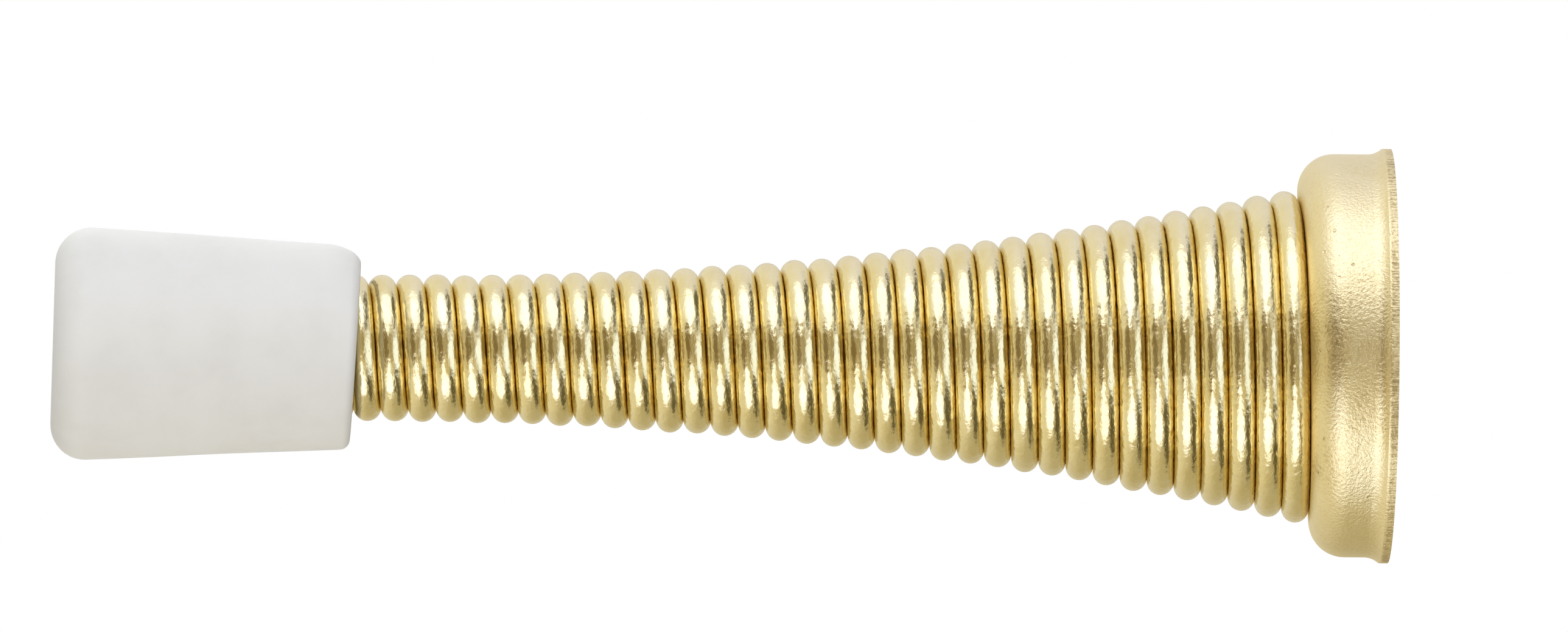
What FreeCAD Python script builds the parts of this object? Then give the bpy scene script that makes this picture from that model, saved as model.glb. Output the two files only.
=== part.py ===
import FreeCAD, Part
import math
import os

# Spring door stop: a pressed base cup, a close-wound flared coil spring and a moulded tip.
# Lengths are in millimetres and angles in degrees.
# X runs along the stop and into the wall, Y is across it and Z is up.
# The wall is the plane x = 0, and a distance from the wall is measured along -X.
# An angle round the stop is measured about +X from +Y, so 90 is the top of the stop.
# Closed faces start and end at the angle where the wire ends, on the far side.

# Driving dimensions of the base cup
CUP_DIAMETER = 24.8
RIM_OVERHANG = 0.35
SHEET_THICKNESS = 0.55
RIM_BEND_RADIUS = 1.3
SHOULDER_RADIUS = 2.2
NECK_TOP_DISTANCE = 8.8
NECK_EDGE_RADIUS = 0.9
SCREW_HOLE_DIAMETER = 4.5

# Driving dimensions of the coil spring
WIRE_DIAMETER = 1.66
TURN_GAP = 0.03
SPRING_TIP_DIAMETER = 8.98
FLARE_RADIUS = 261.6
FLARE_SETBACK = 3.1
WIRE_END_DISTANCE = 5.22
WIRE_END_ANGLE = 385.0

# Driving dimensions of the tip
TIP_FRONT_DISTANCE = 82.3
TIP_LENGTH = 18.75
TIP_NOSE_DIAMETER = 14.5
TIP_MOUTH_DIAMETER = 12.5
TIP_NOSE_RADIUS = 2.2
TIP_MOUTH_RADIUS = 0.6
TIP_BORE_DEPTH = 10.0

# Room left between pieces that touch
SEAT_GAP = 0.05
TIP_GAP = 0.05
NECK_GAP = 0.06

# Construction values
RISE_SWEEP = 65.0
RAMP_STEP = 15.0
CUTTER_INNER_RADIUS = 4.0
WIRE_SECTION_ARCS = 3
BLOCK_MARGIN = 0.5
EDGE_TOLERANCE = 1e-4

AXIS = FreeCAD.Vector(1, 0, 0)
ORIGIN = FreeCAD.Vector(0, 0, 0)

cup_radius = CUP_DIAMETER / 2
rim_radius = cup_radius + RIM_OVERHANG
wire_radius = WIRE_DIAMETER / 2
turn_pitch = WIRE_DIAMETER + TURN_GAP
coil_tip_radius = SPRING_TIP_DIAMETER / 2 - wire_radius
tip_mouth_distance = TIP_FRONT_DISTANCE - TIP_LENGTH
flare_start_distance = tip_mouth_distance - FLARE_SETBACK
spring_end_distance = tip_mouth_distance + TIP_BORE_DEPTH - wire_radius - TIP_GAP


def at(distance, radius, angle=WIRE_END_ANGLE):
    """A point at a distance from the wall and a radius from the axis."""
    turn = math.radians(angle)
    return FreeCAD.Vector(-distance, radius * math.cos(turn), radius * math.sin(turn))


def profile_face(steps):
    """A face in the plane of the axis: each step is a point, or an arc's middle and end."""
    edges = []
    first = here = at(*steps[0][0])
    for step in steps[1:]:
        end = at(*step[-1])
        if len(step) == 2:
            edges.append(Part.Arc(here, at(*step[0]), end).toShape())
        else:
            edges.append(Part.LineSegment(here, end).toShape())
        here = end
    edges.append(Part.LineSegment(here, first).toShape())
    return Part.Face(Part.Wire(edges))


def turned(steps):
    """The solid that a profile makes in one turn round the axis."""
    return profile_face(steps).revolve(ORIGIN, AXIS, 360)


def ring_edges(solid, distance, radius):
    """The round edges of a solid that lie at a distance from the wall and have a radius."""
    found = []
    for edge in solid.Edges:
        curve = edge.Curve
        if isinstance(curve, Part.Circle):
            off = max(abs(curve.Center.x + distance), abs(curve.Radius - radius))
            if off < EDGE_TOLERANCE:
                found.append(edge)
    return found


# Coil spring

def flare_lean(distance):
    """How far the flare's arc has turned, in radians, where the coil is at a distance."""
    return math.asin((flare_start_distance - distance) / FLARE_RADIUS)


def coil_radius(distance):
    """Radius of the wire's middle line on the flare."""
    return coil_tip_radius + FLARE_RADIUS * (1 - math.cos(flare_lean(distance)))


def seat_distance(angle):
    """Distance of the seat that the last turn of wire lies on, up to the wire's end."""
    back = (WIRE_END_ANGLE - angle) / 360
    lean = flare_lean(WIRE_END_DISTANCE) - back * turn_pitch / FLARE_RADIUS
    middle = flare_start_distance - FLARE_RADIUS * math.sin(lean)
    return middle - wire_radius - SEAT_GAP


def coil_path():
    """One edge for each turn: straight lines on a cylinder and on a flared ring, unrolled."""
    lean_end = flare_lean(WIRE_END_DISTANCE)
    flare_turns = FLARE_RADIUS * lean_end / turn_pitch
    straight_turns = (spring_end_distance - flare_start_distance) / turn_pitch
    angle_end = math.radians(WIRE_END_ANGLE)
    angle_flare = angle_end - 2 * math.pi * flare_turns

    flare = Part.Toroid()
    flare.Center = at(flare_start_distance, 0)
    flare.Axis = AXIS
    flare.MajorRadius = FLARE_RADIUS + coil_tip_radius
    flare.MinorRadius = FLARE_RADIUS
    straight = Part.Cylinder()
    straight.Center = at(flare_start_distance, 0)
    straight.Axis = AXIS
    straight.Radius = coil_tip_radius

    pieces = []
    for surface, turns, start, rise in (
        (straight, straight_turns, (angle_flare - 2 * math.pi * straight_turns,
                                    flare_start_distance - spring_end_distance), turn_pitch),
        (flare, flare_turns, (angle_flare, math.pi), -turn_pitch / FLARE_RADIUS),
    ):
        count = math.ceil(turns)
        share = turns / count
        for i in range(count):
            ends = []
            for done in (i * share, (i + 1) * share):
                ends.append(FreeCAD.Base.Vector2d(start[0] + 2 * math.pi * done, start[1] + rise * done))
            pieces.append(Part.Geom2d.Line2dSegment(*ends).toShape(surface))
    return Part.Wire(pieces)


def coil_spring():
    path = coil_path()
    first = path.OrderedEdges[0]
    centre = first.valueAt(first.FirstParameter)
    section = Part.Circle(centre, first.tangentAt(first.FirstParameter), wire_radius)
    arc = 2 * math.pi / WIRE_SECTION_ARCS
    arcs = [Part.Edge(section, arc * i, arc * (i + 1)) for i in range(WIRE_SECTION_ARCS)]
    sweep = Part.BRepOffsetAPI.MakePipeShell(path)
    sweep.setFrenetMode(True)
    sweep.add(Part.Wire(arcs))
    sweep.build()
    sweep.makeSolid()
    return sweep.shape()


# Base cup

def seat_level(sweep):
    """Seat distance past the wire's end: it rises back beside the wire and then follows the last turn."""
    if sweep >= RISE_SWEEP:
        return seat_distance(WIRE_END_ANGLE - 360 + sweep)
    low = seat_distance(WIRE_END_ANGLE)
    high = seat_distance(WIRE_END_ANGLE - 360 + RISE_SWEEP)
    lead = turn_pitch * math.cos(flare_lean(WIRE_END_DISTANCE)) * RISE_SWEEP / 360
    share = sweep / RISE_SWEEP
    ease = share * share * (3 - 2 * share)
    return low + (high - low) * ease - lead * share * (1 - share) * (1 - 2 * share)


def above_seat(outer_radius, drop):
    """All that lies above the seat, or above the seat's inner face, as one ring."""
    points = []
    for i in range(round(360 / RAMP_STEP)):
        sweep = i * RAMP_STEP
        points.append(at(seat_level(sweep) - drop, outer_radius, WIRE_END_ANGLE + sweep))
    curve = Part.BSplineCurve()
    curve.interpolate(Points=points, PeriodicFlag=True)

    low = seat_level(0) - drop
    high = seat_level(0) + turn_pitch + 2 * BLOCK_MARGIN
    outside = outer_radius + BLOCK_MARGIN
    corners = [at(low, CUTTER_INNER_RADIUS), at(low, outside)]
    corners += [at(high, outside), at(high, CUTTER_INNER_RADIUS)]
    ring = Part.BRepOffsetAPI.MakePipeShell(Part.Wire(curve.toShape()))
    ring.setBiNormalMode(AXIS)
    ring.add(Part.makePolygon(corners + corners[:1]))
    ring.build()
    ring.makeSolid()
    return ring.shape()


def seat_edges(block, radius):
    """The edges of a skirt where its seat meets its side."""
    found = []
    for edge in block.Edges:
        if isinstance(edge.Curve, (Part.Line, Part.Circle)):
            continue
        ends = [math.hypot(v.Y, v.Z) for v in edge.Vertexes]
        if max(abs(end - radius) for end in ends) < EDGE_TOLERANCE:
            found.append(edge)
    return found


def skirt_block(inset):
    """The filled shape of the skirt, its flared rim and its seat, drawn in by the sheet's thickness or not."""
    bend_centre = cup_radius + RIM_BEND_RADIUS
    flare = math.acos(1 - RIM_OVERHANG / RIM_BEND_RADIUS)
    bend_start = SHEET_THICKNESS + RIM_BEND_RADIUS * math.sin(flare)
    bend = RIM_BEND_RADIUS + inset

    def on_bend(turn):
        return (bend_start - bend * math.sin(turn), bend_centre - bend * math.cos(turn))

    top = seat_distance(WIRE_END_ANGLE - 360) + BLOCK_MARGIN
    skirt = cup_radius - inset
    if inset:
        flare = math.asin(bend_start / bend)
        foot = on_bend(flare)
        outline = [((-BLOCK_MARGIN, 0),), ((-BLOCK_MARGIN, foot[1]),), (foot,)]
    else:
        foot = on_bend(flare)
        outline = [((0, 0),), ((0, rim_radius),), (foot,)]
    outline += [(on_bend(flare / 2), (bend_start, skirt)), ((top, skirt),), ((top, 0),)]
    block = turned(outline).cut(above_seat(skirt, inset))
    return block.makeFillet(SHOULDER_RADIUS - inset, seat_edges(block, skirt))


def neck_block(inset):
    """The tapered neck inside the last turns of the spring, drawn in by the sheet's thickness or not."""
    foot_distance = WIRE_END_DISTANCE - SHOULDER_RADIUS
    top_distance = NECK_TOP_DISTANCE - inset
    grip = wire_radius + NECK_GAP + inset

    def side(distance):
        lean = flare_lean(distance)
        return coil_radius(distance) - grip / math.cos(lean)

    block = turned([((foot_distance, 0),), ((foot_distance, side(foot_distance)),),
                    ((top_distance, side(top_distance)),), ((top_distance, 0),)])
    edges = ring_edges(block, top_distance, side(top_distance))
    return block.makeFillet(NECK_EDGE_RADIUS - inset, edges)


def base_cup():
    outside = skirt_block(0).fuse(neck_block(0))
    hollow = skirt_block(SHEET_THICKNESS).fuse(neck_block(SHEET_THICKNESS))
    hole_start = NECK_TOP_DISTANCE + BLOCK_MARGIN
    hole = Part.makeCylinder(SCREW_HOLE_DIAMETER / 2, hole_start, at(hole_start, 0), AXIS)
    return outside.cut(hollow).cut(hole).removeSplitter()


# Tip

def rubber_tip():
    nose_radius = TIP_NOSE_DIAMETER / 2
    mouth_radius = TIP_MOUTH_DIAMETER / 2
    bore_radius = SPRING_TIP_DIAMETER / 2 + TIP_GAP
    bore_end = tip_mouth_distance + TIP_BORE_DEPTH
    tip = turned([((bore_end, 0),), ((bore_end, bore_radius),), ((tip_mouth_distance, bore_radius),),
                  ((tip_mouth_distance, mouth_radius),), ((TIP_FRONT_DISTANCE, nose_radius),),
                  ((TIP_FRONT_DISTANCE, 0),)])
    tip = tip.makeFillet(TIP_NOSE_RADIUS, ring_edges(tip, TIP_FRONT_DISTANCE, nose_radius))
    return tip.makeFillet(TIP_MOUTH_RADIUS, ring_edges(tip, tip_mouth_distance, mouth_radius))


os.makedirs("parts", exist_ok=True)
base_cup().exportStep("parts/base_cup.step")
coil_spring().exportStep("parts/coil_spring.step")
rubber_tip().exportStep("parts/rubber_tip.step")
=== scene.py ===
import math

import bpy
import numpy as np
from mathutils import Matrix, Vector

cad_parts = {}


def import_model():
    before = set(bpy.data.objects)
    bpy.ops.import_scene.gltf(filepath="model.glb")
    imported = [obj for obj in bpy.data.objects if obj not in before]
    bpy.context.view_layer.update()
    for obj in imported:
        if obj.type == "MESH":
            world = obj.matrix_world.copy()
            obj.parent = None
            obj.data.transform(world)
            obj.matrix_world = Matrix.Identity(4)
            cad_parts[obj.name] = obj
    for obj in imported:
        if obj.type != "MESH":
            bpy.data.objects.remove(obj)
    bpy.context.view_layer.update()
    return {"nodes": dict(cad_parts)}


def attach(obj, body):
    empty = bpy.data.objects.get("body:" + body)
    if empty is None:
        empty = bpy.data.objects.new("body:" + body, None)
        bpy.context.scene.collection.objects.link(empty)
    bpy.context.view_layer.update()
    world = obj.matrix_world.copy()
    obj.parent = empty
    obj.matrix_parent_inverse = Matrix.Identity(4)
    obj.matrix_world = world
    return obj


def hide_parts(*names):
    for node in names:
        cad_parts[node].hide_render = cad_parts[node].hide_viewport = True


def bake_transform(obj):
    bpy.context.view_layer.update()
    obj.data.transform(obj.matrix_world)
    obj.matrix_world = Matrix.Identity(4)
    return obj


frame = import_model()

# Spring door stop seen from the side, with its tip to the left and its base cup to the right.
# Lengths are in metres unless a comment says otherwise.
# X runs along the stop and into the wall, which is the plane x = 0, and Z is up.

MM = 0.001

# The photograph: its size in pixels, its scale and the place of the wall's plane in it
PHOTO_WIDTH = 2576
PHOTO_HEIGHT = 1039
PHOTO_SCALE = 0.0374 * MM
WALL_PIXEL = 2283
AXIS_PIXEL = 577.4
VIEW_ANGLE = math.radians(1.6)
ROLL_ANGLE = math.radians(0.47)
LENS = 600
SENSOR = 36

# The coil spring, in millimetres and degrees: wound as the solid is, with its turns closer together
TURN_PITCH = 1.69
TURN_GAP = 0.007
WIRE_RADIUS = (TURN_PITCH - TURN_GAP) / 2
COIL_TIP_RADIUS = 3.66
FLARE_RADIUS = 261.6
FLARE_START = 60.45
WIRE_END_DISTANCE = 5.22
SEAT_PRESS = 0.03
WIRE_END_ANGLE = 385.0
SPRING_END_DISTANCE = 72.67
FLARE_LEAN = math.asin((FLARE_START - WIRE_END_DISTANCE) / FLARE_RADIUS)
ALL_TURNS = (FLARE_RADIUS * FLARE_LEAN + SPRING_END_DISTANCE - FLARE_START) / TURN_PITCH

# The coil's mesh
STEPS_PER_TURN = 72
SECTION_POINTS = 24
END_CHAMFER = 0.09

# The coil's unevenness, in millimetres, which fades out over the last turns at the cup and inside the tip
SEED = 7
UNEVEN_RADIUS = 0.022
UNEVEN_OFFSET = 0.012
UNEVEN_WAVES = 7
UNEVEN_SLOWEST = 0.11
UNEVEN_FASTEST = 0.83
FADE_TURNS = 1.5
EVEN_TURNS_IN_TIP = 6.5


# Shared by the two meshes

def tube_mesh(name, rings, ends):
    """A closed smooth mesh through rings of points in millimetres, with a fan of faces at each end."""
    count, size = rings.shape[:2]
    k = np.arange(size)
    k_next = (k + 1) % size
    row = (np.arange(count - 1) * size)[:, None]
    quads = np.stack([row + k, row + k_next, row + size + k_next, row + size + k], 2)
    faces = quads.reshape(-1, 4).tolist()
    first_end = count * size
    last_row = (count - 1) * size
    faces += [(first_end, int(b), int(a)) for a, b in zip(k, k_next)]
    faces += [(first_end + 1, int(last_row + a), int(last_row + b)) for a, b in zip(k, k_next)]
    mesh = bpy.data.meshes.new(name)
    mesh.from_pydata((np.concatenate([rings.reshape(-1, 3), ends]) * MM).tolist(), [], faces)
    mesh.polygons.foreach_set("use_smooth", np.ones(len(mesh.polygons), bool))
    mesh.update()
    return mesh


# Coil spring

def wire_line(turns):
    """Distance from the wall, radius and angle of the wire's middle line, by turns from the cup."""
    flare_turns = FLARE_RADIUS * FLARE_LEAN / TURN_PITCH
    lean = np.clip(FLARE_LEAN - turns * TURN_PITCH / FLARE_RADIUS, 0, None)
    past = np.clip(turns - flare_turns, 0, None)
    distance = FLARE_START - FLARE_RADIUS * np.sin(lean) + past * TURN_PITCH
    radius = COIL_TIP_RADIUS + FLARE_RADIUS * (1 - np.cos(lean))
    return distance, radius, math.radians(WIRE_END_ANGLE) - 2 * math.pi * turns


def waver(turns, rng, waves, slowest, fastest):
    """A smooth irregular curve of about unit size along the wire."""
    out = np.zeros_like(turns)
    for frequency in np.linspace(slowest, fastest, waves):
        out += np.sin(2 * math.pi * (frequency * turns + rng.random()))
    return out / math.sqrt(waves / 2)


def coil_mesh():
    """The wire as one tube that is wound as the solid is, with the small unevenness of a real coil."""
    rng = np.random.default_rng(SEED)
    count = int(ALL_TURNS * STEPS_PER_TURN)
    turns = np.linspace(0, ALL_TURNS, count + 1)
    distance, radius, angle = wire_line(turns)
    # A corner of each section points at the turn beside it, so that all turns lie equally close
    distance_step, radius_step = np.gradient(distance), np.gradient(radius)
    across = np.stack([distance_step, -radius_step * np.cos(angle), -radius_step * np.sin(angle)], 1)

    shown = np.clip(turns / FADE_TURNS, 0, 1)
    shown = shown * np.clip((ALL_TURNS - EVEN_TURNS_IN_TIP - turns) / FADE_TURNS, 0, 1)
    uneven = UNEVEN_RADIUS * waver(turns, rng, UNEVEN_WAVES, UNEVEN_SLOWEST, UNEVEN_FASTEST) + UNEVEN_OFFSET
    radius = radius + shown * uneven
    distance = distance - SEAT_PRESS

    line = np.stack([-distance, radius * np.cos(angle), radius * np.sin(angle)], 1)
    tangent = np.gradient(line, axis=0)
    length = np.concatenate([[0], np.cumsum(np.linalg.norm(np.diff(line, axis=0), axis=1))])
    tangent /= np.linalg.norm(tangent, axis=1, keepdims=True)
    across -= tangent * np.sum(across * tangent, axis=1, keepdims=True)
    across /= np.linalg.norm(across, axis=1, keepdims=True)
    outward = np.cross(across, tangent)

    # The two cut ends get a small chamfer ring each
    line = np.concatenate([line[:1], line, line[-1:]])
    line[1] += tangent[0] * END_CHAMFER
    line[-2] -= tangent[-1] * END_CHAMFER
    length = np.concatenate([length[:1], length, length[-1:]])
    outward = np.concatenate([outward[:1], outward, outward[-1:]])
    across = np.concatenate([across[:1], across, across[-1:]])
    thick = np.full(len(line), WIRE_RADIUS)
    thick[0] -= END_CHAMFER
    thick[-1] -= END_CHAMFER

    turn = np.linspace(0, 2 * math.pi, SECTION_POINTS, endpoint=False)
    side = np.cos(turn)[None, :, None] * outward[:, None] + np.sin(turn)[None, :, None] * across[:, None]
    points = line[:, None] + thick[:, None, None] * side
    mesh = tube_mesh("coil_spring_wire", points, line[[0, -1]])

    # Each point's place on the same wire pulled straight, in millimetres, for its drawn finish
    sections = np.stack([np.repeat(length[:, None], SECTION_POINTS, 1),
                         thick[:, None] * np.cos(turn), thick[:, None] * np.sin(turn)], 2)
    ends = [(0, 0, 0), (length[-1], 0, 0)]
    straight = np.concatenate([sections.reshape(-1, 3), ends]).astype(np.float32)
    attribute = mesh.attributes.new("straight_wire", "FLOAT_VECTOR", "POINT")
    attribute.data.foreach_set("vector", straight.ravel())
    mesh.update()
    return mesh


# Tip, in millimetres and degrees

TIP_FRONT = 82.3
TIP_MOUTH = 63.55
TIP_LENGTH = TIP_FRONT - TIP_MOUTH
TIP_NOSE_RADIUS = 7.25
TIP_MOUTH_RADIUS = 6.25
TIP_NOSE_ROUND = 2.2
TIP_MOUTH_ROUND = 0.6
TIP_BORE_RADIUS = 4.54
TIP_BORE_DEPTH = 10.0
TIP_BORE_ROUND = 0.15
TIP_SPOKES = 128

# How the tip sits: askew, less so at its front than at its mouth, and lifted a little at the front
MOUTH_SKEW = 3.0
SKEW_LOSS = 1.7
FRONT_PIVOT = 7.2
FRONT_INSET = 0.34
FRONT_LIFT = 0.14
TOP_LIP_LENGTH = 2.0
TOP_LIP_DROP = 0.7
OVAL_SWELL = 0.03
THREE_SIDED_SWELL = 0.02


def rounded(before, corner, after, radius, steps):
    """The points of an arc that rounds a corner between two straight runs."""
    before, corner, after = (np.array(p, float) for p in (before, corner, after))
    u = (before - corner) / np.linalg.norm(before - corner)
    v = (after - corner) / np.linalg.norm(after - corner)
    half = math.acos(float(u @ v)) / 2
    centre = corner + (u + v) / np.linalg.norm(u + v) * radius / math.sin(half)
    start = corner + u * radius / math.tan(half) - centre
    stop = corner + v * radius / math.tan(half) - centre
    sweep = math.acos(float(start @ stop) / radius ** 2)
    return [centre + (math.sin((1 - k) * sweep) * start + math.sin(k * sweep) * stop) / math.sin(sweep)
            for k in np.linspace(0, 1, steps)]


def run(start, stop, steps):
    """Points along a straight run, without its ends."""
    start, stop = np.array(start, float), np.array(stop, float)
    return [start + (stop - start) * k / (steps + 1) for k in range(1, steps + 1)]


def tip_mesh():
    """The moulded tip: its turned outline, pushed on a little askew, with the unevenness of rubber."""
    nose, mouth = (TIP_FRONT, TIP_NOSE_RADIUS), (TIP_MOUTH, TIP_MOUTH_RADIUS)
    front = rounded((TIP_FRONT, 0), nose, mouth, TIP_NOSE_ROUND, 14)
    lip = rounded(nose, mouth, (TIP_MOUTH, TIP_BORE_RADIUS), TIP_MOUTH_ROUND, 8)
    bore = (TIP_MOUTH, TIP_BORE_RADIUS)
    edge = rounded(lip[-1], bore, (TIP_MOUTH + TIP_BORE_DEPTH, TIP_BORE_RADIUS), TIP_BORE_ROUND, 4)
    deep = (TIP_MOUTH + TIP_BORE_DEPTH, TIP_BORE_RADIUS)
    outline = run((TIP_FRONT, 0), front[0], 6) + front + run(front[-1], lip[0], 24) + lip
    outline += run(lip[-1], edge[0], 2) + edge + run(edge[-1], deep, 8) + [np.array(deep)]
    outline += run(deep, (deep[0], 0), 4)

    profile = np.array(outline)
    angle = np.linspace(0, 2 * math.pi, TIP_SPOKES, endpoint=False)
    x = np.repeat(-profile[:, :1], TIP_SPOKES, 1)
    y = profile[:, 1:] * np.cos(angle)
    z = profile[:, 1:] * np.sin(angle)
    # From 0 at the mouth to 1 at the front
    ahead = (-TIP_MOUTH - x) / TIP_LENGTH
    lean = np.tan(np.radians(MOUTH_SKEW - SKEW_LOSS * ahead))
    uneven = OVAL_SWELL * np.sin(2 * angle + 5 * ahead + 0.6)
    uneven = uneven + THREE_SIDED_SWELL * np.sin(3 * angle - 7 * ahead)
    swell = 1 + uneven / TIP_NOSE_RADIUS * np.clip(1 - np.abs(ahead - 0.5) / 0.5, 0, 1)
    x = x + (z - FRONT_PIVOT) * lean * ahead + z * lean * (1 - ahead)
    x = np.maximum(x + FRONT_INSET * ahead, -TIP_FRONT)
    droop = np.clip(1 - ahead * TIP_LENGTH / TOP_LIP_LENGTH, 0, 1) ** 2
    wall = np.clip((profile[:, 1:] - TIP_BORE_RADIUS) / (TIP_MOUTH_RADIUS - TIP_BORE_RADIUS), 0, 1)
    droop = droop * np.clip(np.sin(angle), 0, 1) * wall
    y = y * swell
    z = z * swell + FRONT_LIFT * ahead - TOP_LIP_DROP * droop
    ends = [(x[0].mean(), 0, FRONT_LIFT), (x[-1].mean(), 0, FRONT_LIFT * TIP_BORE_DEPTH / TIP_LENGTH)]
    return tube_mesh("rubber_tip_moulded", np.stack([x, y, z], 2), ends)


# Materials

class Nodes:
    """A material's node tree, with short ways to add and join nodes."""

    def __init__(self, name):
        self.material = bpy.data.materials.new(name)
        self.material.use_nodes = True
        self.tree = self.material.node_tree
        self.tree.nodes.clear()
        self.output = self.tree.nodes.new("ShaderNodeOutputMaterial")

    def add(self, kind, settings=None, **inputs):
        made = self.tree.nodes.new("ShaderNode" + kind)
        for key, value in (settings or {}).items():
            setattr(made, key, value)
        for key, value in inputs.items():
            self.put(made.inputs[key.replace("_", " ")], value)
        return made

    def put(self, socket, value):
        if isinstance(value, bpy.types.NodeSocket):
            self.tree.links.new(value, socket)
        else:
            socket.default_value = value

    def place(self, source, scale):
        made = self.add("Mapping", Vector=source)
        made.inputs["Scale"].default_value = scale
        return made.outputs["Vector"]

    def noise(self, place, scale, detail=3.0, roughness=0.5):
        made = self.add("TexNoise", Vector=place, Scale=scale, Detail=detail, Roughness=roughness)
        return made.outputs["Fac"]

    def spread(self, value, low, high, to_low, to_high):
        made = self.add("MapRange", Value=value)
        for key, number in (("From Min", low), ("From Max", high), ("To Min", to_low), ("To Max", to_high)):
            made.inputs[key].default_value = number
        return made.outputs["Result"]

    def calc(self, a, b, how="ADD"):
        made = self.add("Math", {"operation": how})
        self.put(made.inputs[0], a)
        self.put(made.inputs[1], b)
        return made.outputs["Value"]

    def colours(self, value, stops):
        made = self.add("ValToRGB", Fac=value)
        ramp = made.color_ramp
        while len(ramp.elements) < len(stops):
            ramp.elements.new(0.5)
        for element, (place, colour) in zip(ramp.elements, stops):
            element.position = place
            element.color = (*colour, 1)
        return made.outputs["Color"]

    def bump(self, height, distance, strength=1.0, normal=None):
        made = self.add("Bump", Height=height, Distance=distance, Strength=strength)
        if normal is not None:
            self.put(made.inputs["Normal"], normal)
        return made.outputs["Normal"]

    def finish(self, shader):
        self.tree.links.new(shader.outputs[0], self.output.inputs["Surface"])
        return self.material


def brass_wire():
    n = Nodes("brass_wire_drawn")
    straight = n.add("Attribute", {"attribute_name": "straight_wire"}).outputs["Vector"]
    drawn = n.noise(n.place(straight, (0.25, 9.0, 9.0)), 1.0, 3.0)
    cloud = n.noise(n.place(straight, (0.35, 0.9, 0.9)), 1.0, 4.0, 0.6)
    grain = n.noise(n.place(straight, (3.0, 5.5, 5.5)), 1.0, 3.0, 0.6)
    dents = n.noise(n.place(straight, (1.3, 1.5, 1.5)), 1.0, 2.0)
    pits = n.spread(n.noise(n.place(straight, (5.0, 6.0, 6.0)), 1.0, 1.0), 0.73, 0.80, 0.0, 1.0)
    colour = n.colours(cloud, [(0.3, (0.80, 0.66, 0.32)), (0.5, (0.84, 0.715, 0.385)),
                               (0.72, (0.87, 0.76, 0.45))])
    rough = n.calc(n.spread(cloud, 0.3, 0.7, 0.17, 0.22), n.spread(pits, 0.0, 1.0, 0.0, 0.2))
    normal = n.bump(drawn, 0.004 * MM)
    normal = n.bump(dents, 0.07 * MM, 1.0, normal)
    normal = n.bump(grain, 0.02 * MM, 1.0, normal)
    normal = n.bump(n.spread(pits, 0.0, 1.0, 1.0, 0.0), 0.006 * MM, 1.0, normal)
    shader = n.add("BsdfPrincipled", Base_Color=colour, Metallic=1.0, Roughness=rough, Normal=normal)
    return n.finish(shader)


def brass_cup():
    n = Nodes("brass_cup_satin")
    place = n.add("TexCoord").outputs["Object"]
    along = n.add("SeparateXYZ", Vector=place).outputs["X"]
    brushed = n.noise(n.place(place, (2600.0, 90.0, 90.0)), 1.0, 3.0, 0.6)
    cloud = n.noise(n.place(place, (160.0, 160.0, 160.0)), 1.0, 4.0, 0.6)
    peel = n.noise(n.place(place, (5200.0, 5200.0, 5200.0)), 1.0, 3.0, 0.6)
    ticks = n.noise(n.place(place, (900.0, 7000.0, 7000.0)), 1.0, 2.0, 0.6)
    pits = n.spread(n.noise(n.place(place, (1500.0, 1500.0, 1500.0)), 1.0, 1.0), 0.75, 0.80, 0.0, 1.0)
    # The sheared edge of the rim, which stands against the wall
    sheared = n.spread(along, -0.55 * MM, -0.40 * MM, 0.0, 1.0)
    tone = n.calc(n.spread(cloud, 0.25, 0.75, 0.1, 0.75), n.spread(peel, 0.25, 0.75, -0.15, 0.25))
    # The last 0.4 mm of the skirt at the rim is made darker, in a pattern of ticks across it
    darker_rim_ticks = n.calc(sheared, n.spread(ticks, 0.35, 0.65, 0.42, 0.14), "MULTIPLY")
    tone = n.calc(n.calc(tone, darker_rim_ticks, "SUBTRACT"), n.spread(pits, 0.0, 1.0, 0.0, 0.25), "SUBTRACT")
    colour = n.colours(tone, [(0.0, (0.45, 0.34, 0.15)), (0.3, (0.79, 0.65, 0.34)), (0.5, (0.83, 0.70, 0.39)),
                              (0.75, (0.86, 0.74, 0.44))])
    rough = n.calc(n.spread(cloud, 0.3, 0.7, 0.29, 0.35), n.spread(sheared, 0.0, 1.0, 0.0, 0.1))
    normal = n.bump(brushed, 0.01 * MM)
    normal = n.bump(peel, 0.05 * MM, 1.0, normal)
    normal = n.bump(n.spread(pits, 0.0, 1.0, 1.0, 0.0), 0.03 * MM, 1.0, normal)
    normal = n.bump(n.calc(ticks, sheared, "MULTIPLY"), 0.07 * MM, 1.0, normal)
    shader = n.add("BsdfPrincipled", Base_Color=colour, Metallic=1.0, Roughness=rough, Normal=normal)
    return n.finish(shader)


def white_rubber():
    n = Nodes("white_rubber_moulded")
    place = n.add("TexCoord").outputs["Object"]
    cloud = n.noise(n.place(place, (170.0, 170.0, 170.0)), 1.0, 5.0, 0.6)
    fine = n.noise(n.place(place, (2600.0, 2600.0, 2600.0)), 1.0, 3.0, 0.6)
    colour = n.colours(cloud, [(0.3, (0.77, 0.765, 0.745)), (0.5, (0.81, 0.807, 0.79)),
                               (0.7, (0.83, 0.828, 0.815))])
    rough = n.spread(cloud, 0.3, 0.7, 0.5, 0.6)
    normal = n.bump(fine, 0.01 * MM)
    shader = n.add("BsdfPrincipled", Base_Color=colour, Roughness=rough, Normal=normal)
    shader.inputs["Specular IOR Level"].default_value = 0.35
    shader.inputs["Subsurface Weight"].default_value = 0.15
    shader.inputs["Subsurface Radius"].default_value = (1.0, 0.9, 0.8)
    shader.inputs["Subsurface Scale"].default_value = 1.5 * MM
    return n.finish(shader)


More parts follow.
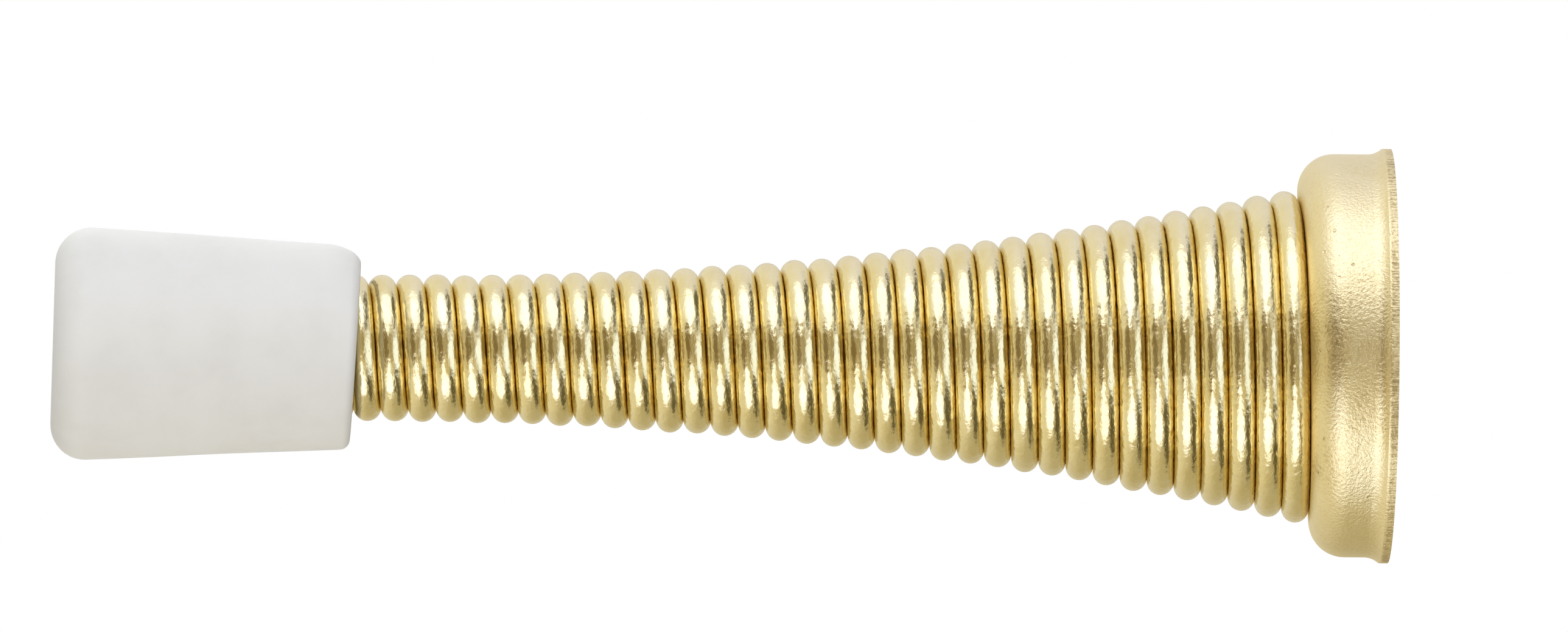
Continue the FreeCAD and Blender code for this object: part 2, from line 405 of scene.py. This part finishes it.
def plain(name, colour):
    n = Nodes(name)
    place = n.add("TexCoord").outputs["Object"]
    cloud = n.noise(n.place(place, (1.5, 1.5, 1.5)), 1.0, 2.0)
    tone = n.colours(cloud, [(0.3, [c * 0.985 for c in colour]), (0.7, colour)])
    return n.finish(n.add("BsdfPrincipled", Base_Color=tone, Roughness=0.9))


# Stage

MIDDLE = Vector((-37 * MM, 0, 0))
FLOOR_LEVEL = -0.62
FLOOR_HALF = 4.0
WORLD_LIGHT = 0.3
DOME_RADIUS = 0.5
DOME_SPOKES = 120
DOME_RINGS = 60
DOME_SPAN = 179.9
GLOSSY_BOUNCES = 12

# A distance that puts the far side of the room outside a patch
FAR_OFF = 9.0

# What the brass mirrors: the room's light upwards, level and downwards, and the patches laid over it.
# A patch has its azimuth, elevation, tilt, half width and half height in degrees, its softness and its light.
UP_LIGHT = np.array((0.90, 0.94, 1.20))
LEVEL_LIGHT = np.array((0.78, 0.75, 0.66))
DOWN_LIGHT = np.array((0.68, 0.60, 0.40))
ROOM_PATCHES = (
    # left wall and the shade on the right of the floor
    (-105, 5, 0, 55, 65, 0.9, (0.95, 0.92, 0.78)),
    (115, -50, 0, 60, 42, 0.8, (0.54, 0.49, 0.33)),
    # the dark side where the camera stands, with its two darkest places
    (-22, -5, 0, 72, 35, 0.3, (0.72, 0.64, 0.43)),
    (-36, 3, 0, 24, 29, 0.4, (0.24, 0.18, 0.085)),
    (9, 8, 0, 15, 28, 0.4, (0.40, 0.34, 0.21)),
    # the dark gaps above and below the pale panel, and the panel
    (78, 47, 20, 36, 13, 0.4, (0.14, 0.13, 0.08)),
    (75, -48, -20, 34, 14, 0.4, (0.12, 0.10, 0.05)),
    (60, -4, 0, 35, 23, 0.25, (1.20, 1.38, 1.85)),
    # the two softboxes, each with a narrow taper towards the middle, and the upper one's surround
    (-18, 63, 0, 42, 30, 0.4, (1.10, 1.15, 1.35)),
    (-14, 38, 0, 13, 13, 0.5, (1.9, 2.0, 2.5)),
    (-10, 65, 0, 30, 27, 0.25, (1.75, 1.85, 2.3)),
    (-19, -33, 0, 12, 15, 0.5, (1.9, 2.0, 2.5)),
    (-19, -59, 0, 27, 22, 0.25, (1.7, 1.8, 2.25)),
)


def towards(azimuth, elevation):
    """A direction from the stop: azimuth 0 is the camera's side, and positive is to the right."""
    a = math.radians(azimuth)
    e = math.radians(elevation)
    return Vector((math.sin(a) * math.cos(e), -math.cos(a) * math.cos(e), math.sin(e)))


def softbox(name, azimuth, elevation, distance, width, height, radiance, colour=(1, 1, 1)):
    """An oval lamp that faces the stop, as bright to look at as radiance says."""
    lamp = bpy.data.lights.new(name, "AREA")
    lamp.shape = "ELLIPSE"
    lamp.size = width
    lamp.size_y = height
    lamp.color = colour
    lamp.energy = radiance * math.pi * width * height * math.pi / 4
    made = bpy.data.objects.new(name, lamp)
    direction = towards(azimuth, elevation)
    made.location = MIDDLE + direction * distance
    made.rotation_mode = "QUATERNION"
    made.rotation_quaternion = direction.to_track_quat("Z", "Y")
    made.visible_camera = False
    made.visible_glossy = False
    bpy.context.collection.objects.link(made)


def patch(directions, azimuth, elevation, tilt, half_width, half_height):
    """How far each direction is from the middle of an oval patch of the room, where its edge is at 1."""
    middle = towards(azimuth, elevation)
    level = Vector((0, 0, 1)).cross(middle).normalized()
    upright = middle.cross(level)
    turn = math.radians(tilt)
    along = level * math.cos(turn) + upright * math.sin(turn)
    across = upright * math.cos(turn) - level * math.sin(turn)
    u = directions @ np.array(along) / math.sin(math.radians(half_width))
    v = directions @ np.array(across) / math.sin(math.radians(half_height))
    behind = directions @ np.array(middle) < 0
    return np.hypot(u, v) + FAR_OFF * behind


def room_light(directions):
    """The light that the brass mirrors from each direction: a pale room under soft patches."""
    rise = directions[:, 2:]
    light = np.where(rise > 0, LEVEL_LIGHT + (UP_LIGHT - LEVEL_LIGHT) * rise,
                     LEVEL_LIGHT + (LEVEL_LIGHT - DOWN_LIGHT) * rise)
    for azimuth, elevation, tilt, half_width, half_height, softness, colour in ROOM_PATCHES:
        reach = patch(directions, azimuth, elevation, tilt, half_width, half_height)
        share = np.clip((1 + softness / 2 - reach) / softness, 0, 1)[:, None]
        light = light + (np.array(colour) - light) * share ** 2 * (3 - 2 * share)
    return light


def dome():
    """The room round the stop, which shows only in reflections."""
    verts = []
    faces = []
    for i in range(DOME_RINGS + 1):
        row = i * DOME_SPOKES
        below = row - DOME_SPOKES
        for j in range(DOME_SPOKES):
            verts.append(towards(360 * j / DOME_SPOKES, DOME_SPAN * (i / DOME_RINGS - 0.5)))
            k = (j + 1) % DOME_SPOKES
            if i:
                faces.append((below + j, below + k, row + k, row + j))
    mesh = bpy.data.meshes.new("room_dome")
    mesh.from_pydata([v * DOME_RADIUS + MIDDLE for v in verts], [], faces)
    attribute = mesh.attributes.new("room_light", "FLOAT_COLOR", "POINT")
    light = room_light(np.array(verts))
    attribute.data.foreach_set("color", np.hstack([light, np.ones((len(light), 1))]).ravel())
    n = Nodes("room_dome")
    seen = n.add("Attribute", {"attribute_name": "room_light"}).outputs["Color"]
    mesh.materials.append(n.finish(n.add("Emission", Color=seen)))
    made = bpy.data.objects.new("room_dome", mesh)
    for kind in ("camera", "diffuse", "transmission", "volume_scatter", "shadow"):
        setattr(made, "visible_" + kind, False)
    bpy.context.collection.objects.link(made)


def world():
    """White to look at, in mirrors and through glass, and a weak light otherwise."""
    made = bpy.data.worlds.new("white_room")
    bpy.context.scene.world = made
    made.use_nodes = True
    tree = made.node_tree
    tree.nodes.clear()
    path = tree.nodes.new("ShaderNodeLightPath")
    seen = tree.nodes.new("ShaderNodeMath")
    seen.operation = "MAXIMUM"
    tree.links.new(path.outputs["Is Camera Ray"], seen.inputs[0])
    tree.links.new(path.outputs["Is Glossy Ray"], seen.inputs[1])
    shown = tree.nodes.new("ShaderNodeMath")
    shown.operation = "MAXIMUM"
    tree.links.new(seen.outputs[0], shown.inputs[0])
    tree.links.new(path.outputs["Is Transmission Ray"], shown.inputs[1])
    light = tree.nodes.new("ShaderNodeBackground")
    light.inputs["Color"].default_value = (1, 1, 1, 1)
    light.inputs["Strength"].default_value = WORLD_LIGHT
    white = tree.nodes.new("ShaderNodeBackground")
    white.inputs["Color"].default_value = (1, 1, 1, 1)
    mix = tree.nodes.new("ShaderNodeMixShader")
    tree.links.new(shown.outputs[0], mix.inputs["Fac"])
    tree.links.new(light.outputs[0], mix.inputs[1])
    tree.links.new(white.outputs[0], mix.inputs[2])
    output = tree.nodes.new("ShaderNodeOutputWorld")
    tree.links.new(mix.outputs[0], output.inputs["Surface"])


def floor():
    mesh = bpy.data.meshes.new("floor")
    corners = [(-FLOOR_HALF, -FLOOR_HALF, 0), (FLOOR_HALF, -FLOOR_HALF, 0),
               (FLOOR_HALF, FLOOR_HALF, 0), (-FLOOR_HALF, FLOOR_HALF, 0)]
    mesh.from_pydata(corners, [], [(0, 1, 2, 3)])
    mesh.materials.append(plain("pale_floor", (0.80, 0.78, 0.73)))
    made = bpy.data.objects.new("floor", mesh)
    made.location = (0, 0, FLOOR_LEVEL)
    bpy.context.collection.objects.link(made)


def camera():
    """The photograph's view: level, a little from the tip's side, with its slight roll."""
    data = bpy.data.cameras.new("camera")
    data.sensor_width = SENSOR
    data.sensor_fit = "HORIZONTAL"
    data.lens = LENS
    data.clip_end = 50
    made = bpy.data.objects.new("camera", data)
    target = Vector(((PHOTO_WIDTH / 2 - WALL_PIXEL) * PHOTO_SCALE / math.cos(VIEW_ANGLE), 0,
                     (AXIS_PIXEL - PHOTO_HEIGHT / 2) * PHOTO_SCALE))
    look = Vector((math.sin(VIEW_ANGLE), math.cos(VIEW_ANGLE), 0))
    level = Vector((math.cos(VIEW_ANGLE), -math.sin(VIEW_ANGLE), 0))
    up = Vector((0, 0, 1))
    right = level * math.cos(ROLL_ANGLE) + up * math.sin(ROLL_ANGLE)
    top = up * math.cos(ROLL_ANGLE) - level * math.sin(ROLL_ANGLE)
    distance = PHOTO_WIDTH * PHOTO_SCALE * LENS / SENSOR
    place = target - look * distance
    turn = Matrix((right, top, -look)).transposed().to_4x4()
    made.matrix_world = Matrix.Translation(place) @ turn
    bpy.context.collection.objects.link(made)
    bpy.context.scene.camera = made


# Pieces

spring = bpy.data.objects.new("coil_spring_wire", coil_mesh())
bpy.context.collection.objects.link(spring)
spring.data.materials.append(brass_wire())
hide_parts("coil_spring")
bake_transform(spring)

frame["nodes"]["base_cup"].data.materials[0] = brass_cup()

tip = bpy.data.objects.new("rubber_tip_moulded", tip_mesh())
bpy.context.collection.objects.link(tip)
tip.data.materials.append(white_rubber())
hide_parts("rubber_tip")
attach(tip, "tip")

# Room

bpy.context.scene.view_settings.view_transform = "Standard"
world()
floor()
camera()
softbox("upper_softbox", -8, 57, 0.60, 0.84, 0.62, 2.2)
softbox("lower_softbox", -17, -51, 0.45, 0.56, 0.48, 1.7, (1.0, 0.96, 0.88))
softbox("back_softbox", -160, 30, 0.60, 0.70, 0.60, 1.9)
dome()
bpy.context.scene.cycles.glossy_bounces = GLOSSY_BOUNCES
